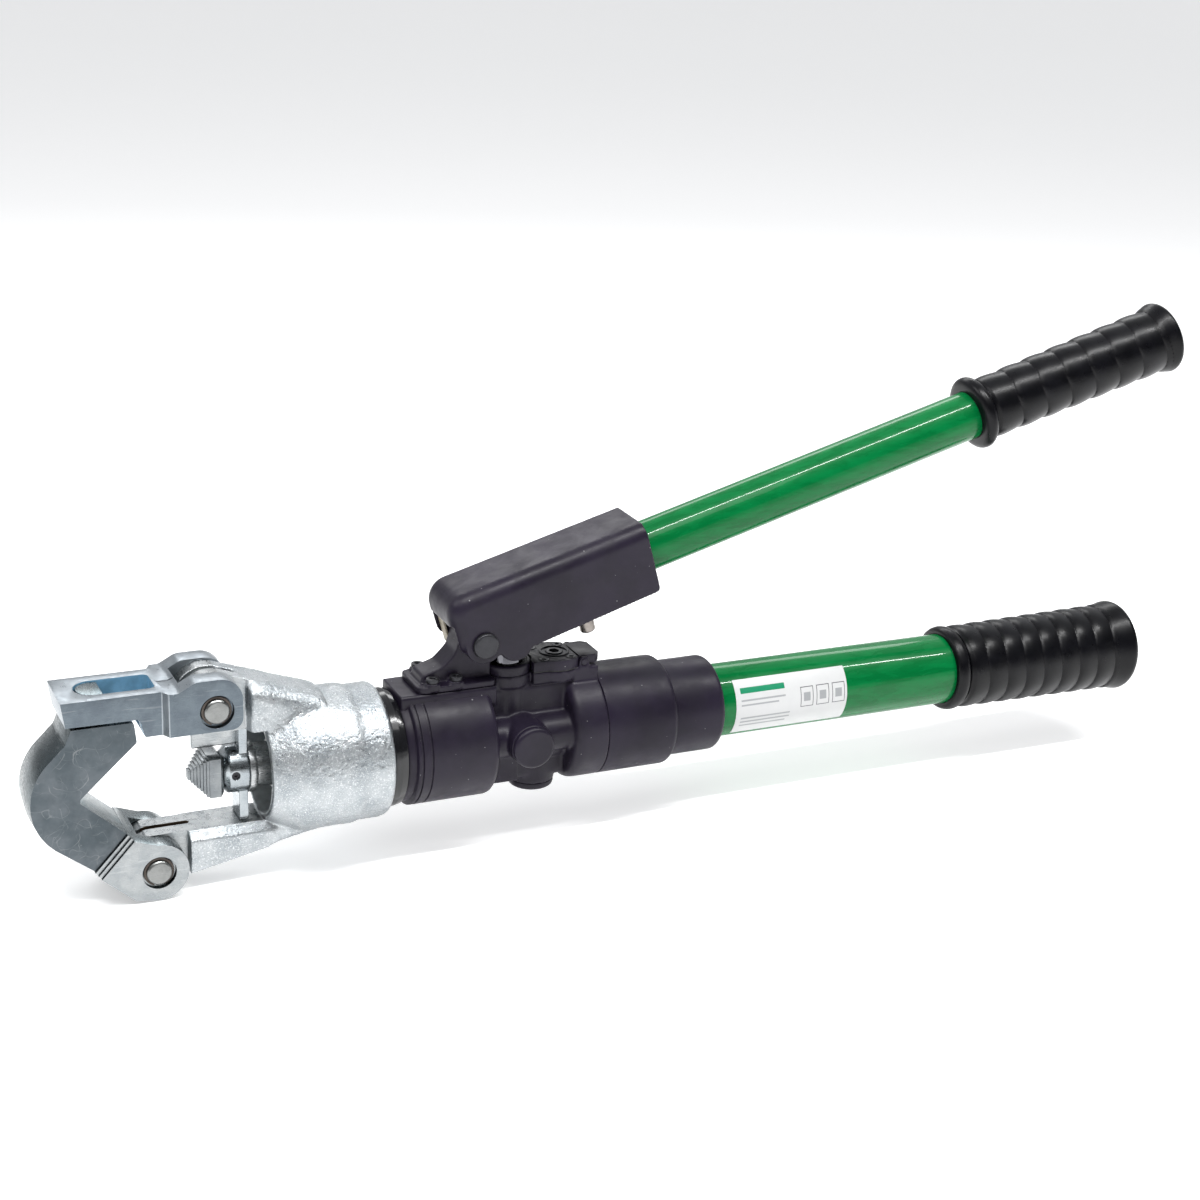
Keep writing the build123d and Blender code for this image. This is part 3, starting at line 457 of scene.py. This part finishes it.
def cast(node, voxel, passes, keep=None, lumps=0.0, lump_size=3.0, seed=0.0, snap=None,
         blend=None):
    """CAD node remeshed and softened like a casting, with lumps millimetres of unevenness.

    keep(co) from 0 to 1 holds places still, blend(co) from 0 to 1 gives places a wide fillet, and
    snap(co) puts a point back on a machined face.
    """
    obj = cad_copy(node)
    remesh = obj.modifiers.new("cast", "REMESH")
    remesh.mode = "VOXEL"
    remesh.voxel_size = voxel * MM * 1.0
    remesh.use_smooth_shade = True
    settle(obj)
    soften(obj, lambda p: 1.0 - 0.85 * (keep(p) if keep else 0.0), passes)
    if blend:
        soften(obj, blend, BLEND_PASSES)
    if lumps:
        mesh = obj.data
        normals = [v.normal.copy() for v in mesh.vertices]
        for v, n in zip(mesh.vertices, normals):
            hold = keep(v.co / MM) if keep else 0.0
            p = v.co / (lump_size * MM) + Vector((seed, seed, seed))
            height = noise.fractal(p, 0.9, 2.1, 3)
            v.co += n * height * lumps * MM * (1 - hold)
    if snap:
        for v in obj.data.vertices:
            snap(v.co)
        obj.data.update()
    obj.data.shade_smooth()
    return stand_for(obj, node)


def paint(obj, material, test):
    """Give the faces that pass test(centre in mm, normal) another material."""
    index = len(obj.data.materials)
    obj.data.materials.append(material)
    for face in obj.data.polygons:
        if test(face.center / MM, face.normal):
            face.material_index = index
    return obj


def lathe(name, profile, placing, material, around=128, shape=None):
    """Surface of revolution about local X from (u, r) points in mm, closed at both ends.

    shape(u, r, angle) may move a point: it returns the new (u, r).
    """
    verts, faces = [], []
    for u, r in profile:
        for k in range(around):
            a = 2 * pi * k / around
            uu, rr = shape(u, r, a) if shape else (u, r)
            verts.append(placing @ Vector((uu * MM, rr * sin(a) * MM, rr * cos(a) * MM)))
    for i in range(len(profile) - 1):
        for k in range(around):
            n = (k + 1) % around
            here, above = i * around, (i + 1) * around
            faces.append((here + k, here + n, above + n, above + k))
    for row, flip in ((0, False), (len(profile) - 1, True)):
        loop = [row * around + k for k in range(around)]
        faces.append(loop if flip else loop[::-1])
    mesh = bpy.data.meshes.new(name)
    mesh.from_pydata(verts, [], faces)
    mesh.update()
    shape_mesh = bmesh.new()
    shape_mesh.from_mesh(mesh)
    bmesh.ops.recalc_face_normals(shape_mesh, faces=shape_mesh.faces)
    shape_mesh.to_mesh(mesh)
    shape_mesh.free()
    return smooth(spawn(name, mesh, material), 50)


BODY_AXIS = Matrix.Identity(4)
PUMP_HANDLE = (Matrix.Translation(Vector((PIVOT[0], 0, PIVOT[1])) * MM)
               @ Matrix.Rotation(radians(-HANDLE_TILT), 4, "Y")
               @ Matrix.Translation(Vector((0, 0, HANDLE_OFFSET)) * MM))


# ---------------------------------------------------------------- head
def near_step(value, target, width):
    """1 at the target, falling to 0 within about two widths."""
    return exp(-((value - target) / width) ** 2)


def beside_lug(x, z):
    """Level with the ground sides of the upper or the lower lug."""
    return z > 20 and x < UPPER_LUG_END or z < -20 and x < LOWER_LUG_END


def yoke_hold(p):
    """Where the yoke is machined: lug faces, arm faces, guide web, front ring, bore and rear."""
    x, y, z = p
    r = hypot(y, z)
    ring = 80 < x < 88.5 and r < 27.5
    web = abs(y) < 2 and x < 84 and 12 < z < 22
    lug = abs(y) < LUG_HALF + 0.6 and beside_lug(x, z)
    bore = r < CYL_R + 0.6 and x > YOKE_FRONT - 2
    if ring or web or lug or bore:
        return 1.0
    rear = near_step(x, YOKE_REAR, 0.7)
    if x >= ARM_END:
        return rear
    return max(rear, near_step(z, ARM_TOP, 0.8), near_step(z, ARM_UNDER, 0.8))


def yoke_blend(p):
    """Where the arms run out into the cylinder in wide fillets, from 0 to 1."""
    behind_front = clamp((p.x - 87) / 6)
    before_rear = clamp((128 - p.x) / 4)
    off_bore = clamp((hypot(p.y, p.z) - 25.5) / 2)
    return behind_front * before_rear * off_bore


def yoke_faces(p):
    """Put points near the yoke's machined faces exactly on them, and none outside its box."""
    x, y, z = p / MM
    r = hypot(y, z)
    if abs(z - WEB_UNDER) < SNAP and abs(y) < 1.9 and x < 84:
        p.z = WEB_UNDER * MM
    if r > YOKE_R and x > YOKE_FRONT + 30:
        p.y *= YOKE_R / r
        p.z *= YOKE_R / r
    channel = z > 0 and abs(y) < CHANNEL_HALF and x > CHANNEL_START
    if abs(r - CYL_R) < SNAP + 0.1 and (x > YOKE_FRONT - 1 or channel):
        p.y *= CYL_R / r
        p.z *= CYL_R / r
    elif x < ARM_END - 1 and abs(y) < 13:
        for level in (ARM_TOP, ARM_UNDER):
            if abs(z - level) < SNAP:
                p.z = level * MM
    if abs(abs(y) - LUG_HALF) < SNAP and beside_lug(x, z):
        p.y = LUG_HALF * MM if y > 0 else -LUG_HALF * MM


def in_guide_slot(c, n):
    x, y, z = c
    return -32 < z < ARM_TOP - 0.3 and abs(y) < 1.9 and 30 < x < 53


def yoke_machined(c, n):
    x, y, z = c
    on_arm = abs(z - ARM_TOP) < NEAR or abs(z - ARM_UNDER) < NEAR
    flat = x < ARM_END and abs(n.z) > 0.8 and on_arm
    lug = abs(n.y) > 0.8 and abs(abs(y) - LUG_HALF) < NEAR and beside_lug(x, z)
    ring = 84 < x < YOKE_FRONT + 0.6 and hypot(y, z) < 27
    web = abs(y) < 2 and x < 85 and 12 < z < 22.5
    crown = hypot(x - UPPER_PIN[0], z - UPPER_PIN[1]) < 15.6 and abs(y) < 9.3 and x < 66
    nose = hypot(x - LOWER_PIN[0], z - LOWER_PIN[1]) < 14.9 and abs(y) < 9.3 and x < 42
    return flat or lug or ring or web or crown or nose


def in_bore(c, n):
    return c.x > YOKE_FRONT - 0.5 and abs(hypot(c.y, c.z) - CYL_R) < 0.4


def on_jaw_rim(c, n):
    """The jaw's outer rim, away from the nest, the ears and the tongue."""
    return abs(n.y) < 0.9 and n.x < 0.1 and abs(c.y) < JAW_HALF + 0.3 and c.z < 35


def on_jaw_side(c, n):
    return abs(n.y) > 0.98 and 12 < abs(c.y) < JAW_HALF + 0.3


def on_jaw_ear(c, n):
    return abs(n.y) > 0.5 and abs(c.y) > JAW_HALF + 0.3


def on_latch_side(c, n):
    return abs(n.y) > 0.9 and abs(c.y) > 14


def in_latch_window(c, n):
    """The window's walls, short of their rounded upper edge."""
    return abs(n.z) < 0.5 and -4 < c.x < 37.2 and abs(c.y) < 9.2 and c.z < 48.4


def collar_hold(p):
    """The ends of the collar's cross bar and its rear face."""
    return 1.0 if abs(p.z) > 14 or p.x > 79.2 else 0.0


yoke = cast("head_yoke", 0.6, 6, yoke_hold, lumps=0.14, lump_size=2.4, snap=yoke_faces,
            blend=yoke_blend)
paint(yoke, MACHINED, yoke_machined)
machined_index = len(yoke.data.materials) - 1
for face in yoke.data.polygons:
    if face.material_index == machined_index and max(abs(face.normal.y), abs(face.normal.z)) > 0.995:
        face.use_smooth = False
# painted shade: the guide slot's inner faces are coloured dark brown
paint(yoke, SLOT_PAINTED_SHADE, in_guide_slot)
paint(yoke, BORE_STEEL, in_bore)

jaw = rounded("hook_jaw", 0.7, 3)
# painted shade: the rim takes the darker copy of the jaw steel
paint(jaw, JAW_RIM_PAINTED_SHADE, on_jaw_rim)
# the jaw's sides: real grinding scratches on a base darkened as a painted reflection
paint(jaw, GROUND_AND_PAINTED_REFLECTION, on_jaw_side)
paint(jaw, MACHINED, on_jaw_ear)
latch = refinish(rounded("latch_arm", 0.6, 3), LATCH_FACE)
# painted reflection: the latch's side faces take the darker copy of its steel
paint(latch, LATCH_SIDE_PAINTED_REFLECTION, on_latch_side)
# painted shade: bluish colour on the window's inner walls
paint(latch, WINDOW_PAINTED_SHADE_BLUE, in_latch_window)
refinish(rounded("indentor", 0.12), DIE_STEEL)
refinish(cast("guide_collar", 0.3, 8, collar_hold), COLLAR_STEEL)
for small in ("ram_lock_nut", "ram", "yoke_lock_screw", "collar_set_screw"):
    rounded(small, 0.2)
for small in ("latch_pin", "jaw_pin"):
    refinish(rounded(small, 0.25), PIN_STEEL)
# the clip rings take the dark brown that stands in for the counterbore's shadow
for small in ("latch_pin_rings", "jaw_pin_rings"):
    refinish(rounded(small, 0.12), RING_STEEL_AND_PAINTED_SHADE)

# ---------------------------------------------------------------- pump body
def housing_hold(p):
    """The two ends of the casting and its front grooves."""
    return 1.0 if p.x < 153 or p.x > 256 or 157.5 < p.x < 165 else 0.0


def bracket_hold(p):
    """The pivot bracket's eye."""
    return 1.0 if hypot(p.x - PIVOT[0], p.z - PIVOT[1]) < 8.7 else 0.0


housing = cast("pump_housing", 0.75, 6, housing_hold, lumps=0.04, lump_size=6.0, seed=4.0)
band_profile = [(152.0, 24.0), (152.0, 26.9), (152.5, 27.5), (156.0, 27.6), (156.3, 28.0), (156.5, 29.2),
                (157.1, FRONT_R - 0.05), (158.0, FRONT_R), (158.3, 29.15), (158.9, 29.15),
                (159.2, FRONT_R), (162.8, FRONT_R), (163.1, 29.2), (163.7, 29.2), (164.0, FRONT_R),
                (195.4, FRONT_R), (196.9, FRONT_R - 0.4), (198.0, FRONT_R - 1.5), (198.5, FRONT_R - 3),
                (198.5, 22.0)]
BAND_ROOM = 1.2         # the casting's front skin is drawn in by this, to lie under the band
for v in housing.data.vertices:
    x, y, z = v.co / MM
    r = hypot(y, z)
    under_bracket = z > 0 and abs(y) < 14.3
    if x < 198.0 and 24.5 < r < 30.1 and not under_bracket:
        v.co.y *= 1 - BAND_ROOM / r
        v.co.z *= 1 - BAND_ROOM / r
band = lathe("front_band", band_profile, BODY_AXIS, FINISH["black_casting"], 160)
stand_for(band, "pump_housing")
cast("pivot_bracket", 0.5, 4, bracket_hold, lumps=0.03, lump_size=5.0, seed=7.0)
for small, width in (("top_cover", 0.5), ("barrel_collar", 0.3), ("side_valve_cap", 0.3),
                     ("bottom_valve_cap", 0.3), ("filler_plug", 0.25), ("release_lever", 0.5),
                     ("swivel_ring", 0.3), ("bracket_bolts", 0.3), ("cover_screws", 0.2),
                     ("pump_plunger", 0.4), ("pump_barrel", 0.2), ("cover_gasket", 0.1),
                     ("reservoir_cover", 0.3), ("handle_socket", 0.3), ("plunger_wiper", 0.2)):
    rounded(small, width)

# ---------------------------------------------------------------- handles
cast("handle_housing", 0.7, 4, lumps=0.05, lump_size=7.0, seed=2.0)
refinish(rounded("release_striker", 0.3), STRIKER_STEEL)
for small, width in (("pivot_pin", 0.3), ("drive_pin", 0.3), ("front_strip", 0.2),
                     ("fixed_tube", 0.4), ("handle_label", 0.05)):
    rounded(small, width)
refinish(rounded("pump_tube", 0.4), GREEN_TILTED)


def grip(node, placing, x0, x1, r_tube, r_lip, r_low, r_high, r_end, ribs, end_len):
    """Moulded grip: rolled lip, overlapping scalloped ribs swept back to the seams, flared end.

    It runs from x0 to x1 along its axis. The ribs' crests rise from r_low to r_high, and the
    flare is end_len long and r_end in radius.
    """
    lip_end = x0 + 8.6
    rib_start, rib_end = x0 + 10.2, x1 - end_len
    pitch = (rib_end - rib_start) / ribs
    step = 0.35
    sweep, rib_depth = 3.2, 1.15
    seam_turn = radians(25)
    profile = [(x0 + 6.0, r_tube - 1.2), (x0 + 0.8, r_tube - 1.2), (x0, r_tube + 0.2)]
    for k in range(13):
        a = pi * k / 12
        profile.append((x0 + 4.0 - 4.0 * cos(a), r_tube + 0.6 + (r_lip - r_tube - 0.6) * sin(a) ** 0.75))
    profile = [p for p in profile if p[0] < lip_end - 1.0 or p[1] < r_low]
    u = lip_end
    while u < x1 - 2.6:
        profile.append((u, None))
        u += step
    for k in range(9):
        a = pi / 2 * k / 8
        profile.append((x1 - 2.7 + 2.6 * sin(a), r_end - 2.7 + 2.6 * cos(a)))
    profile += [(x1 - 0.1, r_end * 0.7), (x1 - 0.35, r_end * 0.66), (x1 - 0.35, 0.6)]

    def shape(u, r, a):
        if r is not None:
            return u, r
        seam = abs(cos(a - seam_turn))
        s = (u - rib_start + sweep * (1 - seam)) / pitch
        t = (u - rib_start) / (rib_end - rib_start)
        base = r_low + (r_high - r_low) * clamp(t)
        inside = 0.0 < s < ribs + 0.2
        scallop = sin(pi * (s % 1.0) ** 0.62) ** 0.8 if inside else 0.0
        r = base - rib_depth + rib_depth * scallop
        flare = clamp((u - rib_end + 1.0) / (end_len - 1.0))
        flare = flare * flare * (3 - 2 * flare)
        r = r + (r_end - r) * flare
        neck = clamp((u - lip_end) / 2.0)
        r = (r_low - 1.5) * (1 - neck) + r * neck
        moulding_line = 0.22 * exp(-((abs(a - pi / 2 - seam_turn) % pi) / 0.018) ** 2)
        return u, r + moulding_line

    around = 176
    obj = lathe(node + "_look", profile, placing, FINISH["grip_rubber"], around, shape)
    return stand_for(obj, node)


grip("fixed_grip", BODY_AXIS, 468.0, 586.6, r_tube=19.0, r_lip=23.0, r_low=22.6, r_high=23.8,
     r_end=25.1, ribs=8, end_len=13)
grip("pump_grip", PUMP_HANDLE, 291.4, 418.9, r_tube=12.8, r_lip=19.5, r_low=16.4, r_high=17.6,
     r_end=19.4, ribs=7, end_len=9)

# every CAD node still shown takes its finish
for node, obj in NODES.items():
    obj.data.materials.clear()
    obj.data.materials.append(FINISH[SLOT_OF[node]])


# ---------------------------------------------------------------- stage, lights, camera
def stage():
    """Plain white floor just under the part, with a low pale wall far round it."""
    floor_z = cad_box[0][2] - 0.0002
    size, wall = 20.0, 3.0
    mesh = bpy.data.meshes.new("floor")
    corners = [(-size, -size), (size, -size), (size, size), (-size, size)]
    verts = [(x, y, floor_z + rise) for rise in (0, wall) for x, y in corners]
    walls = [(k, (k + 1) % 4, (k + 1) % 4 + 4, k + 4) for k in range(4)]
    mesh.from_pydata(verts, [], [(0, 1, 2, 3)] + walls)
    look = Look("floor_white", (0.86, 0.86, 0.86), 0.0, 0.9, Emission_Color=(1, 1, 1, 1),
                Emission_Strength=0.42, Specular_IOR_Level=0.1)
    look.color(look.mix(look.noise(900, 2, 0.5), (0.86, 0.86, 0.86), (0.88, 0.88, 0.88)))
    backdrop = Look("backdrop_grey", (0.86, 0.86, 0.86), 0.0, 0.9, Emission_Color=(1, 1, 1, 1),
                    Emission_Strength=0.2, Specular_IOR_Level=0.1)
    floor = spawn("floor", mesh, look.mat, backdrop.mat)
    for face in mesh.polygons[1:]:
        face.material_index = 1


def area_light(name, spot, aim, size, power, size_y):
    data = bpy.data.lights.new(name, "AREA")
    data.shape = "RECTANGLE"
    data.size, data.size_y = size, size_y
    data.energy = power
    lamp = bpy.data.objects.new(name, data)
    bpy.context.scene.collection.objects.link(lamp)
    lamp.location = spot
    lamp.rotation_euler = (Vector(aim) - Vector(spot)).to_track_quat("-Z", "Y").to_euler()


# brightness of the sky by height, as (height, level) stops: the two ends come first
NEAR_SKY = ((0.0, 0.06), (1.0, 0.55), (0.45, 0.10), (0.75, 0.35))
FAR_SKY = ((0.0, 0.45), (1.0, 0.60), (0.4, 0.72))
SKY_STRENGTH = 0.9


def lights():
    """Soft sky, dark on the near side so the satin parts stay deep, and four soft boxes."""
    world = bpy.data.worlds.new("studio")
    bpy.context.scene.world = world
    world.use_nodes = True
    tree = world.node_tree
    direction = tree.nodes.new("ShaderNodeTexCoord").outputs["Generated"]
    split = tree.nodes.new("ShaderNodeSeparateXYZ")
    tree.links.new(direction, split.inputs[0])

    def sky(stops):
        ramp = tree.nodes.new("ShaderNodeValToRGB")
        tree.links.new(split.outputs["Z"], ramp.inputs["Fac"])
        for k, (place, level) in enumerate(stops):
            stop = ramp.color_ramp.elements[k] if k < 2 else ramp.color_ramp.elements.new(place)
            stop.position = place
            stop.color = (level * 0.98, level, level * 1.03, 1)
        return ramp.outputs["Color"]

    side = tree.nodes.new("ShaderNodeMapRange")
    tree.links.new(split.outputs["Y"], side.inputs["Value"])
    side.inputs["From Min"].default_value = -0.15
    side.inputs["From Max"].default_value = 0.45
    both = tree.nodes.new("ShaderNodeMix")
    both.data_type = "RGBA"
    tree.links.new(side.outputs["Result"], both.inputs[0])
    tree.links.new(sky(NEAR_SKY), both.inputs[6])
    tree.links.new(sky(FAR_SKY), both.inputs[7])
    background = tree.nodes["Background"]
    tree.links.new(both.outputs[2], background.inputs["Color"])
    background.inputs["Strength"].default_value = SKY_STRENGTH
    middle = (0.26, 0, 0.03)
    area_light("key", (0.05, -0.75, 1.35), middle, 0.9, 3.5, size_y=0.45)
    area_light("strip", (0.45, -0.45, 1.4), (0.45, 0, 0.03), 2.2, 30, size_y=0.06)
    area_light("top_left", (-0.9, 0.1, 1.1), middle, 0.8, 6, size_y=0.5)
    area_light("back_strip", (0.6, 1.1, 0.9), middle, 1.4, 6, size_y=0.3)


def camera():
    """The view the tool is seen from: distance, direction and roll about the body's middle."""
    look_at = Vector((0.2594, 0, 0))
    distance, shift_x, shift_y = 1.0591, 0.0047, 0.0594
    azimuth, elevation, roll = radians(25.66), radians(19.76), radians(2.62)
    ahead = Vector((sin(azimuth) * cos(elevation), cos(azimuth) * cos(elevation), -sin(elevation)))
    level = Vector((cos(azimuth), -sin(azimuth), 0))
    rise = level.cross(ahead)
    right = cos(roll) * level + sin(roll) * rise
    up = right.cross(ahead)
    data = bpy.data.cameras.new("camera")
    data.lens = 62.68
    data.sensor_width = 36.0
    data.clip_end = 50
    eye = bpy.data.objects.new("camera", data)
    bpy.context.scene.collection.objects.link(eye)
    spot = look_at + right * shift_x + up * shift_y - ahead * distance
    turn = Matrix((right, up, -ahead)).transposed().to_4x4()
    eye.matrix_world = Matrix.Translation(spot) @ turn
    bpy.context.scene.camera = eye


stage()
lights()
camera()
bpy.context.scene.view_settings.view_transform = "Standard"
